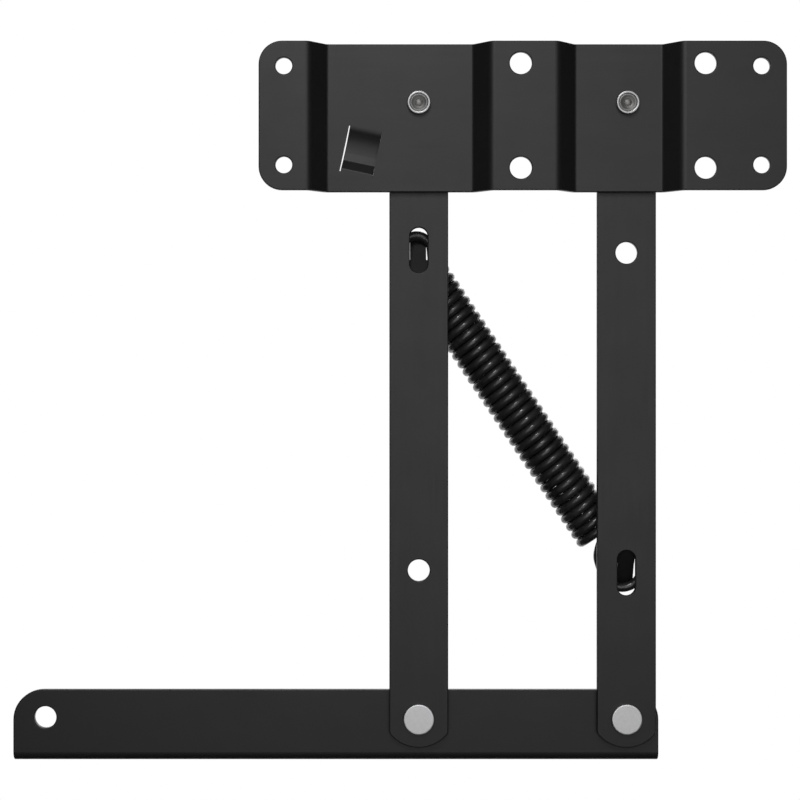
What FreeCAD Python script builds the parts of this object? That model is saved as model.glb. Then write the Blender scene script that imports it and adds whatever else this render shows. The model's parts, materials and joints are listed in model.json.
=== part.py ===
import FreeCAD, Part
import math
import os

import Sketcher
from FreeCAD import Matrix, Placement, Rotation, Vector

# A wall bracket whose lower rail swings on two parallel links and is pulled home by a
# diagonal extension spring. X runs along the plate, Y away from the wall, Z up.
# The origin is the centre of the four small mounting holes, on the mounting face.

os.makedirs("parts", exist_ok=True)
doc = FreeCAD.newDocument("spring_linkage_bracket")

# ---------------------------------------------------------------- driving dimensions

SIZES = [
    ("plate_length", 224.7, "base plate, end to end"),
    ("plate_height", 63.5, "base plate, bottom to top"),
    ("plate_gauge", 2.5, "sheet thickness of the base plate"),
    ("plate_corner_radius", 10.0, "outer corners of the base plate"),
    ("pan_depth", 7.5, "how far the pans are pressed back from the mounting face"),
    ("pan_slope_angle", 45.0, "slope between flange and pan, degrees"),
    ("pan_bend_radius", 1.8, "inner bend radius of the pans"),
    ("wide_pan_middle", -52.2, "centre of the wide pan along X"),
    ("wide_pan_width", 62.5, "flat width of the wide pan"),
    ("narrow_pan_middle", 41.7, "centre of the narrow pan along X"),
    ("narrow_pan_width", 37.5, "flat width of the narrow pan"),
    ("small_hole_diameter", 7.1, "screw holes at the plate's ends"),
    ("small_hole_spacing", 203.2, "small holes, centre to centre along X"),
    ("small_hole_rise", 42.1, "small holes, centre to centre along Z"),
    ("large_hole_diameter", 9.4, "bolt holes beside the narrow pan"),
    ("large_hole_spacing", 78.6, "large holes, centre to centre along X"),
    ("large_hole_rise", 44.5, "large holes, centre to centre along Z"),
    ("large_hole_middle", 38.5, "centre of the large hole pattern along X"),
    ("left_pivot_place", -44.1, "upper left pivot along X"),
    ("upper_pivot_height", 6.45, "upper pivots above the origin"),
    ("pivot_spacing", 89.6, "left pivot to right pivot"),
    ("link_reach", 265.0, "upper pivot to lower pivot"),
    ("link_width", 25.4, "flat bar of the links"),
    ("link_gauge", 3.0, "thickness of the links"),
    ("link_overhang", 12.5, "pivot centre to the end of the link"),
    ("link_end_radius", 16.0, "arc of the link's ends"),
    ("link_corner_blend", 3.0, "blend between a link's side and its end arc"),
    ("slot_width", 7.75, "spring slot, side to side"),
    ("slot_length", 19.5, "spring slot, end to end"),
    ("slot_start", 53.1, "pivot centre to the near end of the slot"),
    ("access_hole_diameter", 9.4, "screwdriver hole in the link"),
    ("access_hole_offset", 64.0, "far pivot to the screwdriver hole"),
    ("tongue_width", 7.0, "spring tongue, side to side"),
    ("tongue_shift", 0.25, "middle of the slot to the middle of the tongue"),
    ("tongue_gauge", 2.0, "thickness of the pressed tongue"),
    ("tongue_rise", 17.6, "spring tongue, root to tip along the link"),
    ("tongue_angle", 30.0, "how far the tongue is bent back, degrees"),
    ("tongue_setback", 0.9, "front of the link to the tongue's root"),
    ("tongue_tip_radius", 1.5, "corners of the tongue's tip"),
    ("neck_gauge", 1.3, "thickness of the tongue's wide root"),
    ("neck_rise", 5.8, "height of the tongue's wide root"),
    ("hook_seat", 16.53, "tongue root to the middle of the spring wire"),
    ("rail_length", 279.6, "lower rail, end to end"),
    ("rail_height", 30.8, "web of the rail, bottom to top"),
    ("rail_depth", 28.0, "rail, front of the web to the flange edge"),
    ("rail_gauge", 3.0, "sheet thickness of the rail"),
    ("rail_corner_radius", 13.0, "upper corners of the web"),
    ("rail_bend_radius", 0.8, "inner bend radius of the rail"),
    ("rail_flange_corner", 5.0, "free corners of the flange"),
    ("rail_overhang", 14.3, "right pivot to the rail's right end"),
    ("rail_pivot_drop", 12.0, "top of the web down to the pivots"),
    ("rail_hole_diameter", 9.5, "hole at the rail's left end"),
    ("rail_hole_inset", 13.9, "left end of the rail to its hole"),
    ("flange_hole_diameter", 5.5, "screw holes in the flange"),
    ("flange_hole_spacing", 64.0, "flange holes, centre to centre"),
    ("shank_diameter", 8.0, "rivet shank"),
    ("rivet_head_diameter", 13.0, "rivet head"),
    ("rivet_head_height", 2.0, "rivet head"),
    ("rivet_tail_diameter", 10.0, "rolled tail of the rivet"),
    ("rivet_tail_height", 2.5, "rolled tail of the rivet"),
    ("rivet_cup_diameter", 5.6, "hollow in the rolled tail"),
    ("rivet_cup_depth", 1.7, "hollow in the rolled tail"),
    ("rim_round", 0.4, "rounding of the rivet's rims"),
    ("shank_clearance", 0.05, "rivet shank to link, on the radius"),
    ("washer_diameter", 16.0, "pivot washer"),
    ("washer_gauge", 0.5, "pivot washer"),
    ("side_play", 0.1, "gap each side of a turning link"),
    ("tab_width", 13.9, "stop tab, side to side"),
    ("tab_length", 20.2, "the two slits beside the stop tab"),
    ("tab_drop", 25.5, "upper left pivot to the middle of the tab"),
    ("tab_outer_slit", 0.5, "width of the slit on the tab's outer side"),
    ("tab_inner_slit", 0.1, "width of the slit on the side that the link meets"),
    ("tab_end", 1.3, "end of a slit to the bend of the tab"),
    ("tab_upper_depth", 3.2, "how far the tab is pressed back at its upper bend"),
    ("tab_lower_depth", 2.4, "how far the tab is pressed back at its lower bend"),
    ("tab_upper_run", 5.5, "upper slope of the tab"),
    ("tab_lower_run", 4.0, "lower slope of the tab"),
    ("tab_root_radius", 4.5, "bend from the pan into the tab's upper slope"),
    ("tab_sweep_radius", 15.0, "wide bend under the tab's upper slope"),
    ("tab_bend_radius", 1.0, "small bends of the stop tab"),
    ("stop_angle", 12.0, "swing of the links at the stop, degrees"),
    ("stop_clearance", 0.25, "link to tab when the link is at its stop"),
    ("wire_diameter", 3.9, "spring wire"),
    ("coil_diameter", 17.3, "spring coil, middle of wire to middle of wire"),
    ("coil_turns", 34.0, "turns of the spring, an even number"),
    ("upper_loop_radius", 6.5, "round loop of the upper hook, to the middle of the wire"),
    ("upper_loop_reach", 10.03, "coil end to the middle of the upper loop"),
    ("upper_loop_offset", 2.1, "middle of the upper loop off the coil's axis"),
    ("upper_seat_angle", 42.3, "where the upper loop crosses its tongue, degrees"),
    ("upper_loop_start", 124.0, "where the upper loop leaves its leg, degrees"),
    ("upper_loop_end", -98.0, "free end of the upper loop, degrees"),
    ("lower_loop_radius", 8.7, "round loop of the lower hook, to the middle of the wire"),
    ("lower_loop_reach", 14.8, "coil end to the middle of the lower loop"),
    ("lower_loop_offset", 0.2, "middle of the lower loop off the coil's axis"),
    ("lower_seat_angle", 25.8, "where the lower loop crosses its tongue, degrees"),
    ("lower_loop_start", 108.0, "where the lower loop leaves its leg, degrees"),
    ("lower_loop_end", -95.0, "free end of the lower loop, degrees"),
    ("wire_gap", 1.8, "spring wire to the back of the link"),
    ("edge_round", 0.5, "softened edges of pressed steel"),
]

sheet = doc.addObject("Spreadsheet::Sheet", "dims")
for row, (alias, size, note) in enumerate(SIZES, start=1):
    sheet.set(f"A{row}", alias)
    sheet.set(f"B{row}", str(size))
    sheet.set(f"C{row}", note)
    sheet.setAlias(f"B{row}", alias)
doc.recompute()

# places that several pieces share, as expressions of the sheet
PAN_FRONT = "dims.pan_depth"
PAN_REAR = "dims.pan_depth + dims.plate_gauge"
LINK_FRONT = f"{PAN_REAR} + dims.washer_gauge + dims.side_play"
LINK_REAR = f"{LINK_FRONT} + dims.link_gauge"
WEB_FRONT = f"{LINK_REAR} + dims.side_play + dims.washer_gauge"
WEB_REAR = f"{WEB_FRONT} + dims.rail_gauge"
LEFT_PIVOT = "dims.left_pivot_place"
RIGHT_PIVOT = "dims.left_pivot_place + dims.pivot_spacing"
UPPER_PIVOT = "dims.upper_pivot_height"
LOWER_PIVOT = "dims.upper_pivot_height - dims.link_reach"


def value(expression):
    """The number that an expression of the sheet gives, in millimetres or degrees."""
    result = sheet.evalExpression(expression)
    return float(getattr(result, "Value", result))


# ------------------------------------------------------------------ modelling helpers


def new_body(label):
    body = doc.addObject("PartDesign::Body", label)
    body.Label = label
    return body


def place(body, x="0", y="0", z="0", axis=Vector(0, 0, 1), angle=0.0):
    """Put a body at the point given by three expressions, turned about one axis."""
    body.Placement = Placement(Vector(0, 0, 0), Rotation(axis, angle))
    for path, expression in (("x", x), ("y", y), ("z", z)):
        body.setExpression(f"Placement.Base.{path}", expression)


def new_sketch(body, plane, name):
    """An empty sketch on one of the body's own origin planes."""
    sketch = body.newObject("Sketcher::SketchObject", name)
    planes = [item for item in body.Origin.OriginFeatures if item.Role == plane]
    sketch.AttachmentSupport = [(planes[0], "")]
    sketch.MapMode = "FlatFace"
    return sketch


def bind(sketch, kind, geometry, point, expression):
    """Hold one coordinate of a sketch point, measured from the sketch's origin."""
    number = value(expression)
    index = sketch.addConstraint(Sketcher.Constraint(kind, -1, 1, geometry, point, number))
    sketch.setExpression(f"Constraints[{index}]", expression)


def add_polygon(sketch, corners):
    """A closed outline through corners, each a pair of expressions."""
    points = [Vector(value(across), value(up), 0) for across, up in corners]
    first = sketch.GeometryCount
    count = len(points)
    for number, point in enumerate(points):
        sketch.addGeometry(Part.LineSegment(point, points[(number + 1) % count]))
    for number, (across, up) in enumerate(corners):
        here = first + number
        following = first + (number + 1) % count
        sketch.addConstraint(Sketcher.Constraint("Coincident", here, 2, following, 1))
        bind(sketch, "DistanceX", here, 1, across)
        bind(sketch, "DistanceY", here, 1, up)


def bind_radius(sketch, geometry, expression):
    constraint = Sketcher.Constraint("Radius", geometry, value(expression))
    index = sketch.addConstraint(constraint)
    sketch.setExpression(f"Constraints[{index}]", expression)


def add_circle(sketch, across, up, diameter):
    centre = Vector(value(across), value(up), 0)
    circle = Part.Circle(centre, Vector(0, 0, 1), value(diameter) / 2)
    index = sketch.addGeometry(circle)
    bind_radius(sketch, index, f"({diameter}) / 2")
    bind(sketch, "DistanceX", index, 3, across)
    bind(sketch, "DistanceY", index, 3, up)


def add_bar(sketch, width, low_centre, high_centre, radius):
    """An upright bar on the sketch's axis, each end an arc about its own centre."""
    side = value(width) / 2
    rise = math.sqrt(value(radius) ** 2 - side ** 2)
    low = value(low_centre)
    high = value(high_centre)
    corners = [
        Vector(-side, low - rise, 0),
        Vector(side, low - rise, 0),
        Vector(side, high + rise, 0),
        Vector(-side, high + rise, 0),
    ]
    first = sketch.GeometryCount
    sketch.addGeometry(Part.Arc(corners[0], Vector(0, low - value(radius), 0), corners[1]))
    sketch.addGeometry(Part.LineSegment(corners[1], corners[2]))
    sketch.addGeometry(Part.Arc(corners[2], Vector(0, high + value(radius), 0), corners[3]))
    sketch.addGeometry(Part.LineSegment(corners[3], corners[0]))
    for one in range(4):
        other = (one + 1) % 4
        sketch.addConstraint(Sketcher.Constraint("Coincident", first + one, 2, first + other, 1))
    for line, across in ((1, f"({width}) / 2"), (3, f"-({width}) / 2")):
        sketch.addConstraint(Sketcher.Constraint("Vertical", first + line))
        bind(sketch, "DistanceX", first + line, 1, across)
    for arc, centre in ((0, low_centre), (2, high_centre)):
        bind(sketch, "DistanceX", first + arc, 3, "0")
        bind(sketch, "DistanceY", first + arc, 3, centre)
        bind_radius(sketch, first + arc, radius)


def add_slot(sketch, low_centre, high_centre, width):
    """An upright slot on the sketch's axis with half-round ends."""
    half = value(width) / 2
    low = Vector(0, value(low_centre), 0)
    high = Vector(0, value(high_centre), 0)
    up = Vector(0, 0, 1)
    first = sketch.GeometryCount
    sketch.addGeometry(Part.ArcOfCircle(Part.Circle(low, up, half), math.pi, 2 * math.pi))
    sketch.addGeometry(Part.LineSegment(low + Vector(half, 0, 0), high + Vector(half, 0, 0)))
    sketch.addGeometry(Part.ArcOfCircle(Part.Circle(high, up, half), 0, math.pi))
    sketch.addGeometry(Part.LineSegment(high - Vector(half, 0, 0), low - Vector(half, 0, 0)))
    for one in range(4):
        other = (one + 1) % 4
        sketch.addConstraint(Sketcher.Constraint("Tangent", first + one, 2, first + other, 1))
    for arc, centre in ((0, low_centre), (2, high_centre)):
        bind(sketch, "DistanceX", first + arc, 3, "0")
        bind(sketch, "DistanceY", first + arc, 3, centre)
        bind_radius(sketch, first + arc, f"({width}) / 2")


def extrude(body, kind, sketch, length, symmetric=False, reverse=False):
    """A pad or a pocket of a sketch."""
    feature = body.newObject(f"PartDesign::{kind}", f"{sketch.Name}_{kind.lower()}")
    feature.Profile = sketch
    feature.SideType = "Symmetric" if symmetric else "One side"
    feature.Reversed = reverse
    feature.setExpression("Length", length)
    doc.recompute()
    return feature


def edges_at(shape, axis, spots):
    """Names of the straight edges along an axis that pass through one of the spots."""
    names = []
    for number, edge in enumerate(shape.Edges, start=1):
        if not isinstance(edge.Curve, Part.Line):
            continue
        if abs(edge.tangentAt(edge.FirstParameter).dot(axis)) < 1 - 1e-6:
            continue
        for spot in spots:
            gap = edge.CenterOfMass - spot
            if (gap - axis * gap.dot(axis)).Length < 1e-3:
                names.append(f"Edge{number}")
    return names


def rims_of(shape, is_wanted):
    """Names of the edges around every face that passes a test."""
    wanted = set()
    for face in shape.Faces:
        if is_wanted(face):
            wanted.update(edge.hashCode() for edge in face.Edges)
    numbered = enumerate(shape.Edges, start=1)
    return [f"Edge{number}" for number, edge in numbered if edge.hashCode() in wanted]


def round_edges(body, name, edges, radius):
    """Fillet the named edges of the body's last feature."""
    base = body.Tip
    fillet = body.newObject("PartDesign::Fillet", name)
    fillet.Base = (base, edges)
    fillet.setExpression("Radius", radius)
    doc.recompute()
    return fillet


def faces_wall(face):
    """True for a flat face that looks along Y."""
    return face.Surface.isPlanar() and abs(face.normalAt(0, 0).y) > 0.999


def is_cut_edge(face):
    """True for the cut edge round a sheet, its corners, and the walls of its holes."""
    if isinstance(face.Surface, Part.Cylinder):
        return abs(face.Surface.Axis.y) > 0.999
    outward = face.normalAt(0, 0)
    return face.Surface.isPlanar() and max(abs(outward.x), abs(outward.z)) > 0.999


X_AXIS = Vector(1, 0, 0)
Y_AXIS = Vector(0, 1, 0)
Z_AXIS = Vector(0, 0, 1)

# -------------------------------------------------------------------------- base plate


def build_base_plate():
    """A pressed plate: flanges on the wall, two pans set back, eight holes, a stop tab."""
    body = new_body("base_plate")
    run = "dims.pan_depth / tan(dims.pan_slope_angle * 1deg)"
    shift = "dims.plate_gauge * tan(dims.pan_slope_angle * 0.5deg)"
    half = "dims.plate_length / 2"
    pans = (
        ("dims.wide_pan_middle", "dims.wide_pan_width"),
        ("dims.narrow_pan_middle", "dims.narrow_pan_width"),
    )
    front = [(f"-{half}", "0")]
    rear = [(f"-{half}", "dims.plate_gauge")]
    sharp_bends = []
    wide_bends = []
    for middle, width in pans:
        for side, slope in (("-", "-"), ("+", "+")):
            pan_edge = f"{middle} {side} {width} / 2"
            flange_edge = f"{pan_edge} {side} {run}"
            order = [(flange_edge, "0"), (pan_edge, PAN_FRONT)]
            back = [
                (f"{flange_edge} {slope} {shift}", "dims.plate_gauge"),
                (f"{pan_edge} {slope} {shift}", PAN_REAR),
            ]
            sharp_bends += [back[0], order[1]]
            wide_bends += [order[0], back[1]]
            if side == "+":
                order.reverse()
                back.reverse()
            front += order
            rear += back
    front.append((half, "0"))
    rear.append((half, "dims.plate_gauge"))

    profile = new_sketch(body, "XY_Plane", "plate_profile")
    add_polygon(profile, front + rear[::-1])
    extrude(body, "Pad", profile, "dims.plate_height", symmetric=True)

    for name, bends, radius in (
        ("plate_inner_bends", sharp_bends, "dims.pan_bend_radius"),
        ("plate_outer_bends", wide_bends, "dims.pan_bend_radius + dims.plate_gauge"),
    ):
        spots = [Vector(value(across), value(back), 0) for across, back in bends]
        round_edges(body, name, edges_at(body.Shape, Z_AXIS, spots), radius)

    corners = []
    for side in (-1, 1):
        for end in (-1, 1):
            across = side * value(half)
            corners.append(Vector(across, 0, end * value("dims.plate_height") / 2))
    names = edges_at(body.Shape, Y_AXIS, corners)
    round_edges(body, "plate_corners", names, "dims.plate_corner_radius")

    add_stop_tab(body)

    holes = new_sketch(body, "XZ_Plane", "plate_holes")
    for side in ("-", "+"):
        for end in ("-", "+"):
            add_circle(
                holes,
                f"{side}dims.small_hole_spacing / 2",
                f"{end}dims.small_hole_rise / 2",
                "dims.small_hole_diameter",
            )
            add_circle(
                holes,
                f"dims.large_hole_middle {side} dims.large_hole_spacing / 2",
                f"{end}dims.large_hole_rise / 2",
                "dims.large_hole_diameter",
            )
    for pivot in (LEFT_PIVOT, RIGHT_PIVOT):
        add_circle(holes, pivot, UPPER_PIVOT, "dims.shank_diameter")
    extrude(body, "Pocket", holes, f"2 * ({PAN_REAR})", symmetric=True)
    names = rims_of(body.Shape, is_cut_edge)
    round_edges(body, "plate_soft_edges", names, "dims.edge_round")
    return body


def turned_sketch(body, name, outward="0"):
    """A sketch along the stop tab: its first axis is Y, its second runs up the tab."""
    offset = f"(dims.link_width / 2 + dims.stop_clearance + dims.tab_width / 2 + {outward})"
    sketch = new_sketch(body, "YZ_Plane", name)
    sketch.AttachmentOffset = Placement(Vector(0, 0, 0), Rotation(X_AXIS, 1.0))
    angle = "dims.stop_angle * 1deg"
    sketch.setExpression("AttachmentOffset.Rotation.Angle", angle)
    up = f"{UPPER_PIVOT} + {offset} * sin({angle})"
    across = f"{LEFT_PIVOT} - {offset} * cos({angle})"
    sketch.setExpression("AttachmentOffset.Base.y", up)
    sketch.setExpression("AttachmentOffset.Base.z", across)
    return sketch


def add_stop_tab(body):
    """A bridge lanced out of the wide pan; the left link comes to rest against its side."""
    slit_top = "-dims.tab_drop + dims.tab_length / 2"
    slit_bottom = "-dims.tab_drop - dims.tab_length / 2"
    slit_shift = "(dims.tab_outer_slit - dims.tab_inner_slit) / 2"
    opening = turned_sketch(body, "tab_opening", slit_shift)
    front = f"{PAN_FRONT} - dims.plate_gauge"
    rear = f"{PAN_REAR} + dims.plate_gauge"
    add_polygon(
        opening,
        [(front, slit_top), (rear, slit_top), (rear, slit_bottom), (front, slit_bottom)],
    )
    width = "dims.tab_width + dims.tab_outer_slit + dims.tab_inner_slit"
    extrude(body, "Pocket", opening, width, symmetric=True)

    top = f"{slit_top} - dims.tab_end"
    bottom = f"{slit_bottom} + dims.tab_end"
    upper_bend = f"{top} - dims.tab_upper_run"
    lower_bend = f"{bottom} + dims.tab_lower_run"
    front_face = [
        (PAN_FRONT, slit_top),
        (PAN_FRONT, top),
        (f"{PAN_FRONT} + dims.tab_upper_depth", upper_bend),
        (f"{PAN_FRONT} + dims.tab_lower_depth", lower_bend),
        (PAN_FRONT, bottom),
        (PAN_FRONT, slit_bottom),
    ]
    rear_face = [(f"{across} + dims.plate_gauge", up) for across, up in front_face]
    bridge = turned_sketch(body, "tab_bridge")
    add_polygon(bridge, front_face + rear_face[::-1])
    extrude(body, "Pad", bridge, "dims.tab_width", symmetric=True)

    across_tab = bridge.Placement.Rotation.multVec(Z_AXIS)
    for name, (across, up), radius in (
        ("tab_front_root", front_face[1], "dims.tab_root_radius"),
        ("tab_front_sweep", front_face[2], "dims.tab_sweep_radius"),
        ("tab_rear_sweep", rear_face[2], "dims.tab_sweep_radius + dims.plate_gauge"),
        ("tab_front_bend", front_face[3], "dims.tab_bend_radius"),
        ("tab_rear_bend", rear_face[3], "dims.tab_bend_radius + dims.plate_gauge"),
        ("tab_front_foot", front_face[4], "dims.tab_bend_radius"),
    ):
        spot = bridge.Placement.multVec(Vector(value(across), value(up), 0))
        round_edges(body, name, edges_at(body.Shape, across_tab, [spot]), radius)


# ------------------------------------------------------------------------------- links


def build_link(label, pivot, near_height, turn):
    """A flat link; its spring slot is near its first pivot, which is the body's origin."""
    body = new_body(label)
    far_pivot = "-dims.link_reach"
    end_offset = "(dims.link_overhang - dims.link_end_radius)"
    outline = new_sketch(body, "XZ_Plane", f"{label}_outline")
    add_bar(
        outline,
        "dims.link_width",
        f"{far_pivot} - {end_offset}",
        end_offset,
        "dims.link_end_radius",
    )
    extrude(body, "Pad", outline, "dims.link_gauge", reverse=True)

    side = value("dims.link_width") / 2
    rise = math.sqrt(value("dims.link_end_radius") ** 2 - side ** 2)
    high = value(end_offset) + rise
    low = value(f"{far_pivot} - {end_offset}") - rise
    corners = [Vector(x, 0, z) for x in (-side, side) for z in (low, high)]
    names = edges_at(body.Shape, Y_AXIS, corners)
    round_edges(body, f"{label}_blends", names, "dims.link_corner_blend")

    cuts = new_sketch(body, "XZ_Plane", f"{label}_cuts")
    near_end = "-dims.slot_start - dims.slot_width / 2"
    far_end = "-dims.slot_start - dims.slot_length + dims.slot_width / 2"
    add_slot(cuts, far_end, near_end, "dims.slot_width")
    bore = "dims.shank_diameter + 2 * dims.shank_clearance"
    add_circle(cuts, "0", "0", bore)
    add_circle(cuts, "0", far_pivot, bore)
    access = f"{far_pivot} + dims.access_hole_offset"
    add_circle(cuts, "0", access, "dims.access_hole_diameter")
    extrude(body, "Pocket", cuts, "dims.link_gauge")

    names = rims_of(body.Shape, faces_wall)
    round_edges(body, f"{label}_soft_edges", names, "dims.edge_round")
    add_tongue(body, label)
    place(body, pivot, LINK_FRONT, near_height, Y_AXIS, turn)
    return body


def add_tongue(body, label):
    """The slot's own metal, bent back from its far end, that the spring hooks over."""
    root = "-dims.slot_start - dims.slot_length"
    lean = "tan(dims.tongue_angle * 1deg)"
    sine = "sin(dims.tongue_angle * 1deg)"
    cosine = "cos(dims.tongue_angle * 1deg)"
    for name, width, shift, rise, gauge in (
        ("neck", "dims.slot_width", "0", "dims.neck_rise", "dims.neck_gauge"),
        (
            "tongue",
            "dims.tongue_width",
            "-dims.tongue_shift",
            "dims.tongue_rise",
            "dims.tongue_gauge",
        ),
    ):
        front_root = ("dims.tongue_setback", root)
        front_tip = (f"dims.tongue_setback + {rise} * {lean}", f"{root} + {rise}")
        side = new_sketch(body, "YZ_Plane", f"{label}_{name}")
        side.setExpression("AttachmentOffset.Base.z", shift)
        add_polygon(
            side,
            [
                front_root,
                front_tip,
                (f"{front_tip[0]} + {gauge} * {cosine}", f"{front_tip[1]} - {gauge} * {sine}"),
                (f"{front_root[0]} + {gauge} * {cosine}", f"{root} - {gauge} * {sine}"),
                ("dims.tongue_setback", f"{root} - {gauge} * {sine}"),
            ],
        )
        extrude(body, "Pad", side, width, symmetric=True)

    angle = math.radians(value("dims.tongue_angle"))
    through_tongue = Vector(0, math.cos(angle), -math.sin(angle))
    left = value("-dims.tongue_shift - dims.tongue_width / 2")
    right = value("-dims.tongue_shift + dims.tongue_width / 2")
    tip = [Vector(across, value(front_tip[0]), value(front_tip[1])) for across in (left, right)]
    names = edges_at(body.Shape, through_tongue, tip)
    round_edges(body, f"{label}_tongue_tip", names, "dims.tongue_tip_radius")


# -------------------------------------------------------------------------- lower rail


def build_lower_rail():
    """An angle: the upright web takes the links, the flange points away from the wall."""
    body = new_body("lower_rail")
    top = f"{LOWER_PIVOT} + dims.rail_pivot_drop"
    bottom = f"{top} - dims.rail_height"
    right = f"{RIGHT_PIVOT} + dims.rail_overhang"
    left = f"{right} - dims.rail_length"
    edge = f"{WEB_FRONT} + dims.rail_depth"

    angle = new_sketch(body, "YZ_Plane", "rail_section")
    angle.setExpression("AttachmentOffset.Base.z", left)
    add_polygon(
        angle,
        [
            (WEB_FRONT, top),
            (WEB_FRONT, bottom),
            (edge, bottom),
            (edge, f"{bottom} + dims.rail_gauge"),
            (WEB_REAR, f"{bottom} + dims.rail_gauge"),
            (WEB_REAR, top),
        ],
    )
    extrude(body, "Pad", angle, "dims.rail_length")

    low = value(bottom)
    gauge = value("dims.rail_gauge")
    outer = [Vector(0, value(WEB_FRONT), low)]
    inner = [Vector(0, value(WEB_REAR), low + gauge)]
    radius = "dims.rail_bend_radius"
    round_edges(body, "rail_inner_bend", edges_at(body.Shape, X_AXIS, inner), radius)
    radius = "dims.rail_bend_radius + dims.rail_gauge"
    round_edges(body, "rail_outer_bend", edges_at(body.Shape, X_AXIS, outer), radius)

    ends = (value(left), value(right))
    upper = [Vector(x, 0, value(top)) for x in ends]
    names = edges_at(body.Shape, Y_AXIS, upper)
    round_edges(body, "rail_corners", names, "dims.rail_corner_radius")
    free = [Vector(x, value(edge), 0) for x in ends]
    names = edges_at(body.Shape, Z_AXIS, free)
    round_edges(body, "rail_flange_corners", names, "dims.rail_flange_corner")

    cuts = new_sketch(body, "XZ_Plane", "rail_web_holes")
    for pivot in (LEFT_PIVOT, RIGHT_PIVOT):
        add_circle(cuts, pivot, LOWER_PIVOT, "dims.shank_diameter")
    add_circle(cuts, f"{left} + dims.rail_hole_inset", LOWER_PIVOT, "dims.rail_hole_diameter")
    extrude(body, "Pocket", cuts, WEB_REAR)

    screws = new_sketch(body, "XY_Plane", "rail_flange_holes")
    middle = f"({left} + {right}) / 2"
    depth = f"({WEB_REAR} + {edge}) / 2"
    for step in (-1.5, -0.5, 0.5, 1.5):
        across = f"{middle} + {step} * dims.flange_hole_spacing"
        add_circle(screws, across, depth, "dims.flange_hole_diameter")
    extrude(body, "Pocket", screws, f"-({bottom})")

    names = rims_of(body.Shape, faces_wall)
    round_edges(body, "rail_soft_edges", names, "dims.edge_round")
    return body


# ------------------------------------------------------------------- rivets and washers


def build_rivet(label, pivot, height, head_place, grip, turn):
    """A solid head, a shank through the leaves, and a tail rolled outward into a cup."""
    body = new_body(label)
    head = "dims.rivet_head_diameter / 2"
    shank = "dims.shank_diameter / 2"
    tail = "dims.rivet_tail_diameter / 2"
    cup = "dims.rivet_cup_diameter / 2"
    tail_end = f"-({grip}) - dims.rivet_tail_height"
    section = new_sketch(body, "XY_Plane", f"{label}_section")
    add_polygon(
        section,
        [
            ("0", "dims.rivet_head_height"),
            (head, "dims.rivet_head_height"),
            (head, "0"),
            (shank, "0"),
            (shank, f"-({grip})"),
            (tail, f"-({grip})"),
            (tail, tail_end),
            (cup, tail_end),
            (f"{cup} * 0.85", f"{tail_end} + dims.rivet_cup_depth"),
            ("0", f"{tail_end} + dims.rivet_cup_depth * 0.8"),
        ],
    )
    turned = body.newObject("PartDesign::Revolution", f"{label}_turned")
    turned.Profile = section
    turned.ReferenceAxis = (section, ["V_Axis"])
    turned.Angle = 360.0
    doc.recompute()

    rims = []
    spots = (
        (value(head), value("dims.rivet_head_height")),
        (value(tail), value(tail_end)),
        (value(cup), value(tail_end)),
    )
    for number, edge in enumerate(body.Shape.Edges, start=1):
        if not isinstance(edge.Curve, Part.Circle):
            continue
        for radius, along in spots:
            same_radius = abs(edge.Curve.Radius - radius) < 1e-3
            if same_radius and abs(edge.Curve.Center.y - along) < 1e-3:
                rims.append(f"Edge{number}")
    round_edges(body, f"{label}_rims", rims, "dims.rim_round")
    place(body, pivot, head_place, height, Z_AXIS, turn)
    return body


def build_washer(label, pivot, height, front):
    body = new_body(label)
    ring = new_sketch(body, "XZ_Plane", f"{label}_ring")
    add_circle(ring, "0", "0", "dims.washer_diameter")
    add_circle(ring, "0", "0", "dims.shank_diameter")
    extrude(body, "Pad", ring, "dims.washer_gauge", reverse=True)
    place(body, pivot, front, height)
    return body


# ------------------------------------------------------------------------------ spring


LEG_BENDS = {
    "upper": [(0.0, 0.0), (0.12, 0.35), (0.29, 0.60)],
    "lower": [(0.0, 0.0), (0.27, 0.42), (0.68, 0.77)],
}


def loop_point(side, angle):
    """A point of a hook's round loop, beyond the coil's end and off the coil's axis."""
    radius = value(f"dims.{side}_loop_radius")
    along = value(f"dims.{side}_loop_reach") + radius * math.cos(math.radians(angle))
    across = value(f"dims.{side}_loop_offset") + radius * math.sin(math.radians(angle))
    return along, across


def hook_points(side):
    """The hook from the coil's end: its leg, in coil radii, and then its round loop."""
    coil_radius = value("dims.coil_diameter") / 2
    points = [(along * coil_radius, across * coil_radius) for along, across in LEG_BENDS[side]]
    start = value(f"dims.{side}_loop_start")
    end = value(f"dims.{side}_loop_end")
    steps = 8
    for step in range(steps + 1):
        points.append(loop_point(side, start + (end - start) * step / steps))
    return points


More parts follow.
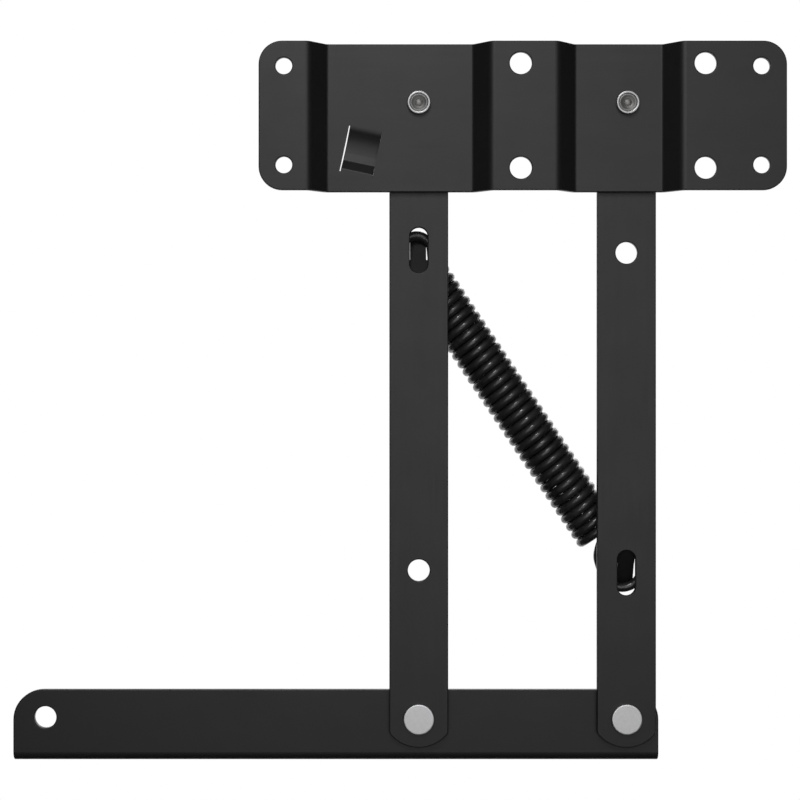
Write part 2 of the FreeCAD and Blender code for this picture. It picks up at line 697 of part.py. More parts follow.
def build_spring():
    """One wire, a coil with a loop at each end, parted at mid-coil into two halves."""
    seat_drop = value("dims.slot_start + dims.slot_length - dims.hook_seat")
    wire_place = value(f"{LINK_REAR} + dims.wire_gap + dims.wire_diameter / 2")
    coil_radius = value("dims.coil_diameter") / 2
    upper_seat = Vector(value(LEFT_PIVOT), wire_place, value(UPPER_PIVOT) - seat_drop)
    lower_seat = Vector(value(RIGHT_PIVOT), wire_place, value(LOWER_PIVOT) + seat_drop)

    span = lower_seat - upper_seat
    upper_along, upper_across = loop_point("upper", value("dims.upper_seat_angle"))
    lower_along, lower_across = loop_point("lower", value("dims.lower_seat_angle"))
    across = upper_across + lower_across
    along = math.sqrt(span.Length ** 2 - across ** 2)
    coil_length = along - upper_along - lower_along
    tilt = math.atan2(-span.z, span.x) - math.atan2(across, along)
    turn = Rotation(Y_AXIS, math.degrees(tilt))
    local_seat = Vector(coil_length / 2 + lower_along, -coil_radius, -lower_across)
    centre = lower_seat - turn.multVec(local_seat)

    pitch = coil_length / value("dims.coil_turns")
    for side, flip in (("upper", 180.0), ("lower", 0.0)):
        half = doc.addObject("Part::Feature", f"spring_{side}_half")
        half.Label = f"spring_{side}_half"
        half.Shape = spring_half(pitch, coil_length / 2, coil_radius, side)
        half.Placement = Placement(centre, turn * Rotation(Y_AXIS, flip))
        sub_parts.append(half)


def spring_half(pitch, length, radius, side):
    """Half a coil along +X from X = 0, and the hook beyond it, in front of the axis."""
    helix = Part.makeHelix(pitch, length, radius)
    helix.transformShape(Matrix(0, 0, 1, 0, -1, 0, 0, 0, 0, -1, 0, 0, 0, 0, 0, 1))
    points = [Vector(length + along, -radius, -across) for along, across in hook_points(side)]
    hook = Part.BSplineCurve()
    start = Vector(pitch / (2 * math.pi), 0, -radius)
    end = math.radians(value(f"dims.{side}_loop_end"))
    finish = Vector(math.sin(end), 0, math.cos(end))
    hook.interpolate(Points=points, InitialTangent=start, FinalTangent=finish)
    path = Part.Wire(helix.Edges + [hook.toShape()])
    wire = Part.Circle(
        Vector(0, -radius, 0), start, value("dims.wire_diameter") / 2
    ).toShape()
    return path.makePipeShell([Part.Wire(wire)], True, False)


# ---------------------------------------------------------------------------- assembly

sub_parts = []
sub_parts.append(build_base_plate())
sub_parts.append(build_link("left_link", LEFT_PIVOT, UPPER_PIVOT, 0.0))
sub_parts.append(build_link("right_link", RIGHT_PIVOT, LOWER_PIVOT, 180.0))
sub_parts.append(build_lower_rail())

LINK_AND_PLAY = "dims.link_gauge + 2 * dims.side_play + dims.washer_gauge"
UPPER_GRIP = f"{LINK_AND_PLAY} + dims.plate_gauge"
LOWER_GRIP = f"{LINK_AND_PLAY} + dims.rail_gauge"
for side, pivot in (("left", LEFT_PIVOT), ("right", RIGHT_PIVOT)):
    head = f"{LINK_REAR} + dims.side_play"
    sub_parts.append(
        build_rivet(f"upper_{side}_rivet", pivot, UPPER_PIVOT, head, UPPER_GRIP, 0.0)
    )
    sub_parts.append(build_washer(f"upper_{side}_washer", pivot, UPPER_PIVOT, PAN_REAR))
    head = f"{LINK_FRONT} - dims.side_play"
    sub_parts.append(
        build_rivet(f"lower_{side}_rivet", pivot, LOWER_PIVOT, head, LOWER_GRIP, 180.0)
    )
    front = f"{WEB_FRONT} - dims.washer_gauge"
    sub_parts.append(build_washer(f"lower_{side}_washer", pivot, LOWER_PIVOT, front))
build_spring()

# ------------------------------------------------------------------------------ export

doc.recompute()
for item in doc.Objects:
    if "Invalid" in item.State or "Error" in item.State:
        raise RuntimeError(f"{item.Label} did not recompute: {item.State}")
for part in sub_parts:
    if part.Shape.isNull() or not part.Shape.isValid():
        raise RuntimeError(f"{part.Label} has no valid shape")
for part in sub_parts:
    part.Shape.exportStep(f"parts/{part.Label}.step")
    print(part.Label, len(part.Shape.Solids), round(part.Shape.Volume, 1), part.Shape.BoundBox)
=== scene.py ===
import json
import math

import bmesh
import bpy
from mathutils import Matrix, Vector


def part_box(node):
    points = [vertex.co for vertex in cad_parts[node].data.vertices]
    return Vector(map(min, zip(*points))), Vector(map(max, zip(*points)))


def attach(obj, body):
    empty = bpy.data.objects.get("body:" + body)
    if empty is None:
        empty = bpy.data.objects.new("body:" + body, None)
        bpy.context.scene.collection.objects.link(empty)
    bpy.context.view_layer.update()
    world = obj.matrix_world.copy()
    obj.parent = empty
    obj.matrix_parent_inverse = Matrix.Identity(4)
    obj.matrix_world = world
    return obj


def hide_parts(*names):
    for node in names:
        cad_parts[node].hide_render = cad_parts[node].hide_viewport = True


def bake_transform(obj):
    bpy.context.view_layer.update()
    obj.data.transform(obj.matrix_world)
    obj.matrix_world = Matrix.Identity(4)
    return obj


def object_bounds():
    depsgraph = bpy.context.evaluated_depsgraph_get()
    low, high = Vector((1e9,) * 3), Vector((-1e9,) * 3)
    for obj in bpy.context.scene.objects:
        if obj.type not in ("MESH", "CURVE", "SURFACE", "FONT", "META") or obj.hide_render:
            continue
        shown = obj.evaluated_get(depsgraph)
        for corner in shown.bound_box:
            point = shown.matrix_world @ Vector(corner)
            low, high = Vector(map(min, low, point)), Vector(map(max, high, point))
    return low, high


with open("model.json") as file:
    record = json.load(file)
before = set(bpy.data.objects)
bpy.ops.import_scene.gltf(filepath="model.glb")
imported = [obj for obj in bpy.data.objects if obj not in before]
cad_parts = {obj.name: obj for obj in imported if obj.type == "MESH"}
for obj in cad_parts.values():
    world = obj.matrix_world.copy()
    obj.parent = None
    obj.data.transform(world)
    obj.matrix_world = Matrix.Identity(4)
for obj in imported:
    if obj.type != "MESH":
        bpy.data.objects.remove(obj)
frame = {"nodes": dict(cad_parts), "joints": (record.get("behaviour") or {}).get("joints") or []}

# A black wall bracket: a pressed base plate, two parallel links and a lower rail, drawn
# back by a diagonal extension spring. Everything here is in metres, X along the plate,
# Y away from the wall, Z up, as the frame has it.

for name in ("Cube", "Light", "Camera"):
    spare = bpy.data.objects.get(name)
    if spare is not None:
        bpy.data.objects.remove(spare)
cad_low, cad_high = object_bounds()

# ------------------------------------------------------------------------ base plate
# Cold-rolled sheet, 2.5 mm thick, blanked, pierced and pressed in one tool, so that two
# pans stand back from three flanges. It is finished in satin black powder, baked on.

MM = 0.001
COAT_COLOUR = (0.0060, 0.0060, 0.0064, 1.0)
COAT_ROUGHNESS = 0.44
LINES_ALONG_X = (0.04, 1.0, 1.0)


def new_group(name, inputs, outputs):
    """An empty shader node group; inputs are (name, kind, value), outputs (name, kind)."""
    group = bpy.data.node_groups.new(name, "ShaderNodeTree")
    for label, kind, setting in inputs:
        socket = group.interface.new_socket(label, in_out="INPUT", socket_type=kind)
        socket.default_value = setting
    for label, kind in outputs:
        group.interface.new_socket(label, in_out="OUTPUT", socket_type=kind)
    return group


def add_node(tree, kind, links=(), **values):
    """A node with its properties set; links are (input, source socket or plain value)."""
    node = tree.nodes.new(kind)
    for name, setting in values.items():
        setattr(node, name, setting)
    for socket, source in links:
        if isinstance(source, bpy.types.NodeSocket):
            tree.links.new(source, node.inputs[socket])
        else:
            node.inputs[socket].default_value = source
    return node


def build_powder_group():
    """Baked powder: a fine orange peel over the sheet's own rolling lines."""
    group = new_group(
        "powder_over_rolled_steel",
        (
            ("Peel Size", "NodeSocketFloat", 0.6 * MM),
            ("Line Stretch", "NodeSocketVector", (1.0, 1.0, 1.0)),
            ("Colour", "NodeSocketColor", COAT_COLOUR),
            ("Colour Change", "NodeSocketFloat", 0.12),
            ("Roughness", "NodeSocketFloat", COAT_ROUGHNESS),
            ("Roughness Change", "NodeSocketFloat", 0.10),
            ("Peel Depth", "NodeSocketFloat", 0.04),
        ),
        (
            ("Colour", "NodeSocketColor"),
            ("Roughness", "NodeSocketFloat"),
            ("Normal", "NodeSocketVector"),
        ),
    )
    given = add_node(group, "NodeGroupInput").outputs
    place = add_node(group, "ShaderNodeTexCoord").outputs["Object"]
    finer = add_node(
        group, "ShaderNodeMath", ((0, 1.0), (1, given["Peel Size"])), operation="DIVIDE"
    )
    peel = add_node(
        group,
        "ShaderNodeTexNoise",
        (("Vector", place), ("Scale", finer.outputs[0]), ("Detail", 2.0)),
    )
    drawn = add_node(
        group,
        "ShaderNodeVectorMath",
        ((0, place), (1, given["Line Stretch"])),
        operation="MULTIPLY",
    )
    lines = add_node(
        group,
        "ShaderNodeTexNoise",
        (("Vector", drawn.outputs[0]), ("Scale", 900.0), ("Detail", 3.0)),
    )
    blotches = add_node(
        group,
        "ShaderNodeTexNoise",
        (("Vector", place), ("Scale", 70.0), ("Detail", 3.0)),
    )
    shade = add_node(
        group,
        "ShaderNodeMath",
        ((0, lines.outputs["Fac"]), (1, blotches.outputs["Fac"])),
        operation="ADD",
    )
    shade = add_node(
        group, "ShaderNodeMath", ((0, shade.outputs[0]), (1, -1.0)), operation="ADD"
    )
    tint = add_node(
        group,
        "ShaderNodeMath",
        ((0, shade.outputs[0]), (1, given["Colour Change"]), (2, 1.0)),
        operation="MULTIPLY_ADD",
    )
    colour = add_node(
        group,
        "ShaderNodeVectorMath",
        ((0, given["Colour"]), ("Scale", tint.outputs[0])),
        operation="SCALE",
    )
    rough = add_node(
        group,
        "ShaderNodeMath",
        ((0, shade.outputs[0]), (1, given["Roughness Change"]), (2, given["Roughness"])),
        operation="MULTIPLY_ADD",
    )
    bump = add_node(
        group,
        "ShaderNodeBump",
        (("Height", peel.outputs["Fac"]), ("Strength", given["Peel Depth"])),
    )
    bump.inputs["Distance"].default_value = 0.05 * MM
    add_node(
        group,
        "NodeGroupOutput",
        (
            ("Colour", colour.outputs[0]),
            ("Roughness", rough.outputs[0]),
            ("Normal", bump.outputs[0]),
        ),
    )
    return group


powder_group = build_powder_group()


def material_from(group, name, settings):
    """A material that takes its colour, roughness and normal from an effect group."""
    material = bpy.data.materials.new(name)
    material.use_nodes = True
    tree = material.node_tree
    surface = tree.nodes["Principled BSDF"]
    effect = tree.nodes.new("ShaderNodeGroup")
    effect.node_tree = group
    for label, setting in settings.items():
        effect.inputs[label].default_value = setting
    tree.links.new(effect.outputs["Colour"], surface.inputs["Base Color"])
    tree.links.new(effect.outputs["Roughness"], surface.inputs["Roughness"])
    tree.links.new(effect.outputs["Normal"], surface.inputs["Normal"])
    return material


def powder_coat(name, line_stretch):
    """Satin black powder; the sheet's rolling lines run where the stretch is small."""
    return material_from(powder_group, name, {"Line Stretch": line_stretch})


def dress(node_name, material):
    """Give a node of the frame its finish."""
    piece = frame["nodes"][node_name]
    piece.data.materials.clear()
    piece.data.materials.append(material)


dress("base_plate", powder_coat("plate_powder_coat", LINES_ALONG_X))

# ------------------------------------------------------------------------------ links
# Two identical one-inch flat bars, 3 mm thick, sheared and pierced, each with a tongue
# lanced out of its slot for the spring. The same powder as the plate.

LINES_ALONG_Z = (1.0, 1.0, 0.04)
link_powder = powder_coat("link_powder_coat", LINES_ALONG_Z)
for link in ("left_link", "right_link"):
    dress(link, link_powder)

# ------------------------------------------------------------------------- lower rail
# A rolled angle of 3 mm sheet: the upright web takes the links, the flange points away
# from the wall. The same powder as the plate.

dress("lower_rail", powder_coat("rail_powder_coat", LINES_ALONG_X))

# ------------------------------------------------------------------ rivets and washers
# Zinc-plated semi-tubular rivets, closed in a press: a flat head, and a tail rolled over
# outwards round a cup, with a thin black nylon washer between the leaves that turn. The
# upper heads are at the back, the lower ones at the front.

ZINC_COLOUR = (0.72, 0.72, 0.73, 1.0)
ZINC_ROUGHNESS = 0.40
# A darker copy of the face zinc for the rolled tail: painted shade that dims the reflection off
# its rim.
RIM_SHADE_COLOUR = (0.46, 0.46, 0.465, 1.0)
# Darker still in the cup: painted shade in the rivet's hollow.
CUP_SHADE_COLOUR = (0.25, 0.246, 0.242, 1.0)
CUP_ROUGHNESS = 0.52
CUP_RADIUS = 3.9 * MM
RIVET_SIDES = 72
SHARP_ANGLE = math.radians(38)
NO_LINES = (1.0, 1.0, 1.0)

# The rivet's outline from the middle of its head to the middle of its cup, as (radius,
# distance) in millimetres: the head from its underside, the tail from the sheets' far side.
HEAD_PROFILE = (
    (0.0, -2.0), (5.9, -2.0), (6.3, -2.0), (6.42, -1.95), (6.48, -1.84), (6.5, -1.65),
    (6.5, -0.15), (6.35, 0.0), (4.0, 0.0),
)
TAIL_PROFILE = (
    (4.0, 0.0), (4.75, 0.0), (4.95, 0.2), (5.0, 0.6), (5.0, 1.8), (4.95, 2.2),
    (4.83, 2.42), (4.64, 2.5), (4.16, 2.5), (3.98, 2.42), (3.88, 2.2), (3.74, 2.0),
    (3.6, 2.04), (3.45, 2.1), (3.2, 2.05), (2.9, 1.92), (2.4, 1.7), (1.9, 1.54),
    (1.66, 1.48), (1.46, 1.34), (1.28, 1.38), (1.1, 1.5), (0.6, 1.57), (0.25, 1.6),
    (0.0, 1.6),
)


def build_zinc_group():
    """Dull zinc plate: faint cloudy patches, and fine pits from the tumbling drum."""
    group = new_group(
        "cloudy_zinc_plate",
        (
            ("Plate Colour", "NodeSocketColor", ZINC_COLOUR),
            ("Plate Roughness", "NodeSocketFloat", ZINC_ROUGHNESS),
        ),
        (
            ("Colour", "NodeSocketColor"),
            ("Roughness", "NodeSocketFloat"),
            ("Normal", "NodeSocketVector"),
        ),
    )
    given = add_node(group, "NodeGroupInput").outputs
    place = add_node(group, "ShaderNodeTexCoord").outputs["Object"]
    clouds = add_node(
        group, "ShaderNodeTexNoise", (("Vector", place), ("Scale", 650.0), ("Detail", 4.0))
    )
    tint = add_node(
        group,
        "ShaderNodeMapRange",
        (("Value", clouds.outputs["Fac"]), ("To Min", 0.86), ("To Max", 1.14)),
    )
    colour = add_node(
        group,
        "ShaderNodeVectorMath",
        ((0, given["Plate Colour"]), ("Scale", tint.outputs["Result"])),
        operation="SCALE",
    )
    change = add_node(
        group,
        "ShaderNodeMapRange",
        (("Value", clouds.outputs["Fac"]), ("To Min", -0.08), ("To Max", 0.08)),
    )
    rough = add_node(
        group,
        "ShaderNodeMath",
        ((0, given["Plate Roughness"]), (1, change.outputs["Result"])),
        operation="ADD",
    )
    pits = add_node(
        group, "ShaderNodeTexNoise", (("Vector", place), ("Scale", 2600.0), ("Detail", 2.0))
    )
    bump = add_node(
        group, "ShaderNodeBump", (("Height", pits.outputs["Fac"]), ("Strength", 0.12))
    )
    bump.inputs["Distance"].default_value = 0.03 * MM
    add_node(
        group,
        "NodeGroupOutput",
        (
            ("Colour", colour.outputs[0]),
            ("Roughness", rough.outputs[0]),
            ("Normal", bump.outputs[0]),
        ),
    )
    return group


zinc_group = build_zinc_group()


def zinc_plate(name, plate_colour, plate_roughness):
    """Zinc plate of the given colour and roughness."""
    settings = {"Plate Colour": plate_colour, "Plate Roughness": plate_roughness}
    material = material_from(zinc_group, name, settings)
    material.node_tree.nodes["Principled BSDF"].inputs["Metallic"].default_value = 1.0
    return material


def add_ring(mesh, middle, normal, other, radius, sides):
    """A ring of points round a middle, in the plane of two unit directions."""
    ring = []
    for side in range(sides):
        angle = 2 * math.pi * side / sides
        spoke = normal * math.cos(angle) + other * math.sin(angle)
        ring.append(mesh.verts.new(middle + spoke * radius))
    return ring


def join_rings(mesh, rings, sides):
    """Faces from each ring to the next; a ring of one point closes the form there."""
    for ring, following in zip(rings, rings[1:]):
        for side in range(sides):
            beside = (side + 1) % sides
            corners = [ring[side % len(ring)], ring[beside % len(ring)]]
            corners += [following[beside % len(following)], following[side % len(following)]]
            mesh.faces.new(list(dict.fromkeys(corners)))


def object_from(mesh, name):
    """The finished mesh as an object of the scene."""
    data = bpy.data.meshes.new(name)
    mesh.to_mesh(data)
    mesh.free()
    made = bpy.data.objects.new(name, data)
    bpy.context.scene.collection.objects.link(made)
    return made


def turn_piece(name, profile, place, way):
    """A turned piece; its profile is (radius, distance along the way) in millimetres."""
    mesh = bmesh.new()
    rings = []
    for radius, along in profile:
        middle = place + way * along * MM
        if radius == 0:
            rings.append([mesh.verts.new(middle)])
        else:
            spokes = Vector((1, 0, 0)), Vector((0, 0, 1))
            rings.append(add_ring(mesh, middle, *spokes, radius * MM, RIVET_SIDES))
    join_rings(mesh, rings, RIVET_SIDES)
    bmesh.ops.recalc_face_normals(mesh, faces=mesh.faces)
    piece = object_from(mesh, name)
    piece.data.shade_smooth()
    piece.data.set_sharp_from_angle(angle=SHARP_ANGLE)
    return piece


zinc = zinc_plate("zinc_plated_faces", ZINC_COLOUR, ZINC_ROUGHNESS)
# The rolled tail's zinc, darkened as painted shade.
rim_zinc_painted_shade = zinc_plate("zinc_on_the_rolled_rim_painted_shade", RIM_SHADE_COLOUR, ZINC_ROUGHNESS)
# The cup's zinc, darkened as painted shade in the hollow.
cup_zinc_painted_shade = zinc_plate("zinc_in_the_cup_painted_shade", CUP_SHADE_COLOUR, CUP_ROUGHNESS)
nylon = powder_coat("washer_nylon", NO_LINES)

# Each row's body, its heads' underside and the sheets' thickness between head and tail in
# millimetres, and the way from head to tail.
for row, body, head_face, grip, way in (
    ("upper", "base", 13.7, 6.2, Vector((0, -1, 0))),
    ("lower", "rail", 10.5, 6.7, Vector((0, 1, 0))),
):
    for side in ("left", "right"):
        node = f"{row}_{side}_rivet"
        low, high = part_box(node)
        seat = (Vector(low) + Vector(high)) / 2
        seat.y = head_face * MM
        profile = HEAD_PROFILE
        profile += tuple((radius, grip + along) for radius, along in TAIL_PROFILE)
        rivet = turn_piece(f"{row}_{side}_rolled_rivet", profile, seat, way)
        for finish in (zinc, rim_zinc_painted_shade, cup_zinc_painted_shade):
            rivet.data.materials.append(finish)
        for face in rivet.data.polygons:
            from_seat = face.center - seat
            # Tail faces outside the cup take the darker rim zinc, which is painted shade.
            if from_seat.dot(way) > grip * MM:
                # Faces inside the cup's radius take the zinc darkened with painted shade.
                in_painted_shade_cup = from_seat.cross(way).length < CUP_RADIUS
                face.material_index = 2 if in_painted_shade_cup else 1
        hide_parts(node)
        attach(rivet, body)
        dress(f"{row}_{side}_washer", nylon)

# ----------------------------------------------------------------------------- spring
# Hard-drawn wire, 4 mm, close wound right-handed and black enamelled, with a hook at
# each end that bears on the link's tongue. One wire from hook to hook.

WIRE_RADIUS = 2.03 * MM
COIL_RADIUS = 8.57 * MM
COIL_TURNS = 34
WIRE_SIDES = 16
STEPS_PER_TURN = 40
STEPS_PER_LOOP = 12
STEPS_BETWEEN_POINTS = 6
CUT_END_RADIUS = 0.72
CUT_END_BEYOND = 0.25
WIRE_BEHIND_LINK = 5.25 * MM
PIVOT_TO_SEAT = 56.07 * MM
ENAMEL_COLOUR = (0.0055, 0.0055, 0.0058, 1.0)
ENAMEL_ROUGHNESS = 0.55
GLOSS_ROUGHNESS = 0.10

# Each hook: the round loop's radius, its middle beyond the coil's end and off the axis,
# the angles of its seat, start and free end, and the leg between coil and loop, as shares
# of the coil's radius.
UPPER_HOOK = {
    "radius": 6.5 * MM,
    "reach": 10.03 * MM,
    "offset": 2.1 * MM,
    "seat": math.radians(42.3),
    "start": math.radians(124),
    "end": math.radians(-98),
    "leg": ((0.0, 0.0), (0.12, 0.35), (0.29, 0.60)),
}
LOWER_HOOK = {
    "radius": 8.7 * MM,
    "reach": 14.8 * MM,
    "offset": 0.2 * MM,
    "seat": math.radians(25.8),
    "start": math.radians(108),
    "end": math.radians(-95),
    "leg": ((0.0, 0.0), (0.27, 0.42), (0.68, 0.77)),
}


def coil_points(length):
    """The coil along X about its middle, its turns all but touching."""
    count = COIL_TURNS * STEPS_PER_TURN
    points = []
    for step in range(count + 1):
        share = step / count - 0.5
        turn = 2 * math.pi * COIL_TURNS * share
        across = Vector((0, -math.cos(turn), -math.sin(turn))) * COIL_RADIUS
        points.append(Vector((length * share, 0, 0)) + across)
    return points


def smooth_through(points, steps):
    """A smooth line from the second of the given points to the last."""
    ends = [*points, 2 * points[-1] - points[-2]]
    line = []
    for before, start, end, after in zip(ends, ends[1:], ends[2:], ends[3:]):
        for step in range(steps):
            share = step / steps
            leave = (end - before) / 2
            arrive = (after - start) / 2
            line.append(
                start * (2 * share ** 3 - 3 * share ** 2 + 1)
                + leave * (share ** 3 - 2 * share ** 2 + share)
                + end * (3 * share ** 2 - 2 * share ** 3)
                + arrive * (share ** 3 - share ** 2)
            )
    line.append(points[-1])
    return line


def loop_point(hook, angle):
    """A point of a hook's loop: beyond the coil's end, and off the coil's axis."""
    along = hook["reach"] + hook["radius"] * math.cos(angle)
    across = hook["offset"] + hook["radius"] * math.sin(angle)
    return along, across


def hook_points(length, hook, side):
    """A hook beyond one end of the coil, in front of its axis; side is -1 or 1."""
    in_last_turn = (0.0, -0.33)
    leg = (in_last_turn, *hook["leg"])
    outline = [(along * COIL_RADIUS, across * COIL_RADIUS) for along, across in leg]
    for step in range(STEPS_PER_LOOP + 1):
        share = step / STEPS_PER_LOOP
        angle = hook["start"] + (hook["end"] - hook["start"]) * share
        outline.append(loop_point(hook, angle))
    points = [
        Vector((side * (length / 2 + along), -COIL_RADIUS, -side * across))
        for along, across in outline
    ]
    return smooth_through(points, STEPS_BETWEEN_POINTS)


def sweep_wire(name, path):
    """A round wire along a path, its cut ends slightly rounded over."""
    mesh = bmesh.new()
    rings = []
    normal = (path[1] - path[0]).orthogonal().normalized()
    last = len(path) - 1
    stations = [(0, -CUT_END_BEYOND, CUT_END_RADIUS)]
    stations += [(index, 0.0, 1.0) for index in range(last + 1)]
    stations += [(last, CUT_END_BEYOND, CUT_END_RADIUS)]
    for index, beyond, width in stations:
        ahead = (path[min(index + 1, last)] - path[max(index - 1, 0)]).normalized()
        normal = (normal - ahead * normal.dot(ahead)).normalized()
        other = ahead.cross(normal)
        middle = path[index] + ahead * beyond * WIRE_RADIUS
        rings.append(add_ring(mesh, middle, normal, other, WIRE_RADIUS * width, WIRE_SIDES))
    join_rings(mesh, rings, WIRE_SIDES)
    mesh.faces.new(rings[0][::-1])
    mesh.faces.new(rings[-1])
    piece = object_from(mesh, name)
    piece.data.shade_smooth()
    return piece


joint_places = {j["name"]: Vector(j["pos_m"]) for j in frame["joints"] if "pos_m" in j}
upper_pivot = joint_places["linkage_swing"]
right_pivot = joint_places["right_link_swing"]
lower_pivot = joint_places["rail_level"]
wire_plane = upper_pivot.y + WIRE_BEHIND_LINK
upper_seat = Vector((upper_pivot.x, wire_plane, upper_pivot.z - PIVOT_TO_SEAT))
lower_seat = Vector((right_pivot.x, wire_plane, lower_pivot.z + PIVOT_TO_SEAT))
seat_span = lower_seat - upper_seat
upper_along, upper_across = loop_point(UPPER_HOOK, UPPER_HOOK["seat"])
lower_along, lower_across = loop_point(LOWER_HOOK, LOWER_HOOK["seat"])
seats_across = upper_across + lower_across
seats_along = math.sqrt(seat_span.length ** 2 - seats_across ** 2)
coil_length = seats_along - upper_along - lower_along
tilt = math.atan2(-seat_span.z, seat_span.x) - math.atan2(seats_across, seats_along)
spring_turn = Matrix.Rotation(tilt, 3, "Y")
local_seat = Vector((coil_length / 2 + lower_along, -COIL_RADIUS, -lower_across))
spring_middle = lower_seat - spring_turn @ local_seat

upper_hook = hook_points(coil_length, UPPER_HOOK, -1)
lower_hook = hook_points(coil_length, LOWER_HOOK, 1)
wire_path = upper_hook[:0:-1] + coil_points(coil_length) + lower_hook[1:]
spring = sweep_wire(
    "extension_spring", [spring_middle + spring_turn @ point for point in wire_path]
)

enamel = material_from(
    powder_group,
    "spring_enamel",
    {
        "Colour": ENAMEL_COLOUR,
        "Colour Change": 0.5,
        "Roughness": ENAMEL_ROUGHNESS,
        "Roughness Change": 0.7,
        "Peel Size": 1.1 * MM,
        "Peel Depth": 0.35,
    },
)
enamel_tree = enamel.node_tree
enamel_surface = enamel_tree.nodes["Principled BSDF"]
speckle = add_node(
    enamel_tree,
    "ShaderNodeTexNoise",
    (
        ("Vector", add_node(enamel_tree, "ShaderNodeTexCoord").outputs["Object"]),
        ("Scale", 1300.0),
        ("Detail", 2.0),
    ),
)
gloss = add_node(
    enamel_tree,
    "ShaderNodeMapRange",
    (
        ("Value", speckle.outputs["Fac"]),
        ("From Min", 0.38),
        ("From Max", 0.56),
        ("To Min", 0.35),
        ("To Max", 1.0),
    ),
)
enamel_tree.links.new(gloss.outputs["Result"], enamel_surface.inputs["Coat Weight"])
enamel_surface.inputs["Coat Roughness"].default_value = GLOSS_ROUGHNESS
spring.data.materials.append(enamel)
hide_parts("spring_upper_half", "spring_lower_half")
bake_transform(spring)

# ---------------------------------------------------------------- camera and studio
# A long lens level with the bracket's middle, on the wall's side of it. White all
# round, a pale floor well below, soft lamps, and a dark tent that the gloss picks up.

WALL_TO_CAMERA = 0.728
CAMERA_HEIGHT = -0.12105
CAMERA_ACROSS = -0.0522
SENSOR_WIDTH = 36.0
LENS = 77.1
ROOM_LIGHT = 0.5

# Marks on the tent, along Y, and on the floor, outwards, are shares of its radius.
TENT_RADIUS = 2.2
TENT_OPEN_BEYOND = 0.55
TENT_GLOW_STARTS = -0.45
TENT_GLOW_FULL = -0.75
TENT_GLOW = 0.06
FLOOR_BELOW_RAIL = 0.27
FLOOR_RADIUS = 0.8
FLOOR_FADE_STARTS = 0.45
FLOOR_FADE_FULL = 0.97

camera_data = bpy.data.cameras.new("camera")
camera_data.sensor_width = SENSOR_WIDTH
camera_data.lens = LENS
camera = bpy.data.objects.new("camera", camera_data)
camera.location = (CAMERA_ACROSS, -WALL_TO_CAMERA, CAMERA_HEIGHT)
camera.rotation_euler = (math.pi / 2, 0, 0)
bpy.context.scene.collection.objects.link(camera)
bpy.context.scene.camera = camera
bpy.context.scene.view_settings.view_transform = "Standard"

world = bpy.data.worlds.new("white_studio")
bpy.context.scene.world = world
world.use_nodes = True
room = world.node_tree
room.nodes.clear()
seen = add_node(room, "ShaderNodeLightPath").outputs
shown = add_node(
    room,
    "ShaderNodeMath",
    ((0, seen["Is Camera Ray"]), (1, seen["Is Glossy Ray"])),
    operation="MAXIMUM",
)
shown = add_node(
    room,
    "ShaderNodeMath",
    ((0, shown.outputs[0]), (1, seen["Is Transmission Ray"])),
    operation="MAXIMUM",
)
level = add_node(
    room,
    "ShaderNodeMath",
    ((0, shown.outputs[0]), (1, 1 - ROOM_LIGHT), (2, ROOM_LIGHT)),
    operation="MULTIPLY_ADD",
)
glow = add_node(room, "ShaderNodeBackground", (("Strength", level.outputs[0]),))
glow.inputs["Color"].default_value = (1, 1, 1, 1)
add_node(room, "ShaderNodeOutputWorld", (("Surface", glow.outputs[0]),))


def flat_material(name, colour):
    """Matt cloth or board of one colour, for the studio alone."""
    material = bpy.data.materials.new(name)
    material.use_nodes = True
    surface = material.node_tree.nodes["Principled BSDF"]
    surface.inputs["Base Color"].default_value = colour
    surface.inputs["Roughness"].default_value = 0.9
    return material


def add_tent(radius):
    """Cloth round the front and sides of the studio, open at the back: gloss alone sees it.

    Its sides are black, and its front glows faintly so that flat faces stay readable.
    """
    mesh = bmesh.new()
    bmesh.ops.create_uvsphere(mesh, u_segments=48, v_segments=24, radius=radius)
    opening = TENT_OPEN_BEYOND * radius
    behind = [face for face in mesh.faces if face.calc_center_median().y > opening]
    bmesh.ops.delete(mesh, geom=behind, context="FACES")
    bmesh.ops.reverse_faces(mesh, faces=mesh.faces)
    tent = object_from(mesh, "tent")
    material = flat_material("tent_cloth", (0.01, 0.01, 0.01, 1.0))
    tree = material.node_tree
    place = add_node(tree, "ShaderNodeTexCoord").outputs["Object"]
    depth = add_node(tree, "ShaderNodeSeparateXYZ", ((0, place),)).outputs["Y"]
    glow = add_node(
        tree,
        "ShaderNodeMapRange",
        (
            ("Value", depth),
            ("From Min", TENT_GLOW_STARTS * radius),
            ("From Max", TENT_GLOW_FULL * radius),
            ("To Min", 0.0),
            ("To Max", TENT_GLOW),
        ),
        interpolation_type="SMOOTHSTEP",
    )
    surface = tree.nodes["Principled BSDF"]
    surface.inputs["Emission Color"].default_value = (1, 1, 1, 1)
    tree.links.new(glow.outputs["Result"], surface.inputs["Emission Strength"])
    tent.data.materials.append(material)
    tent.visible_camera = False
    tent.visible_diffuse = False
    tent.visible_transmission = False
    tent.visible_shadow = False


add_tent(TENT_RADIUS)


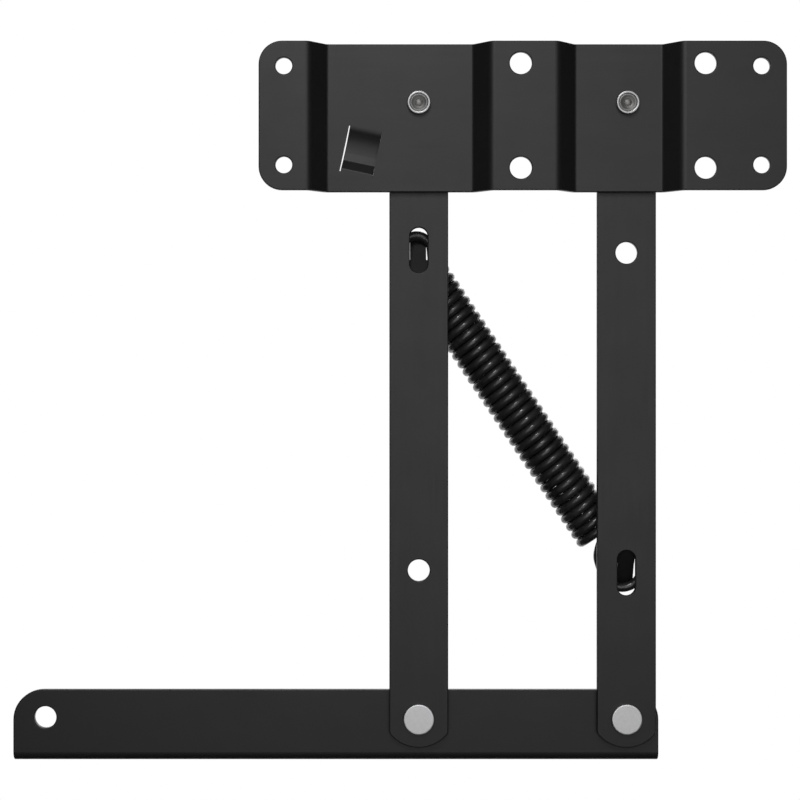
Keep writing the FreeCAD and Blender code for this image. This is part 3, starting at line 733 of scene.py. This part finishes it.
def add_floor(height, radius):
    """A pale round floor well below the rail, which fades to white at its rim."""
    mesh = bmesh.new()
    bmesh.ops.create_circle(mesh, cap_ends=True, segments=96, radius=radius)
    floor = object_from(mesh, "floor")
    floor.location = (0, 0, height)
    material = flat_material("pale_floor", (0.82, 0.82, 0.82, 1.0))
    tree = material.node_tree
    place = add_node(tree, "ShaderNodeTexCoord").outputs["Object"]
    away = add_node(tree, "ShaderNodeVectorMath", ((0, place),), operation="LENGTH")
    seen_by_camera = add_node(tree, "ShaderNodeLightPath").outputs["Is Camera Ray"]
    fade = add_node(
        tree,
        "ShaderNodeMapRange",
        (
            ("Value", away.outputs["Value"]),
            ("From Min", FLOOR_FADE_STARTS * radius),
            ("From Max", FLOOR_FADE_FULL * radius),
        ),
        interpolation_type="SMOOTHSTEP",
    )
    fade = add_node(
        tree,
        "ShaderNodeMath",
        ((0, fade.outputs["Result"]), (1, seen_by_camera)),
        operation="MULTIPLY",
    )
    white = add_node(tree, "ShaderNodeEmission")
    white.inputs["Color"].default_value = (1, 1, 1, 1)
    mixed = add_node(
        tree,
        "ShaderNodeMixShader",
        (
            (0, fade.outputs[0]),
            (1, tree.nodes["Principled BSDF"].outputs[0]),
            (2, white.outputs[0]),
        ),
    )
    tree.links.new(mixed.outputs[0], tree.nodes["Material Output"].inputs["Surface"])
    floor.data.materials.append(material)
    floor.visible_glossy = False


add_floor(cad_low.z - FLOOR_BELOW_RAIL, FLOOR_RADIUS)


def add_softbox(name, place, aim, width, height, power):
    """A soft rectangular lamp at a place, turned to its aim."""
    lamp_data = bpy.data.lights.new(name, "AREA")
    lamp_data.shape = "RECTANGLE"
    lamp_data.size = width
    lamp_data.size_y = height
    lamp_data.energy = power
    lamp = bpy.data.objects.new(name, lamp_data)
    lamp.location = place
    lamp.rotation_euler = (Vector(aim) - Vector(place)).to_track_quat("-Z", "Y").to_euler()
    lamp.visible_camera = False
    bpy.context.scene.collection.objects.link(lamp)


middle = (cad_low + cad_high) / 2
add_softbox("front_softbox", (0.02, -1.05, 0.02), (0.02, 0.0, 0.02), 0.94, 1.0, 3.45)
add_softbox("key_softbox", (-0.16, -0.95, 0.62), middle, 0.27, 0.27, 3.3)
add_softbox("back_softbox", (0.3, 1.3, 0.45), middle, 0.9, 0.9, 3.0)
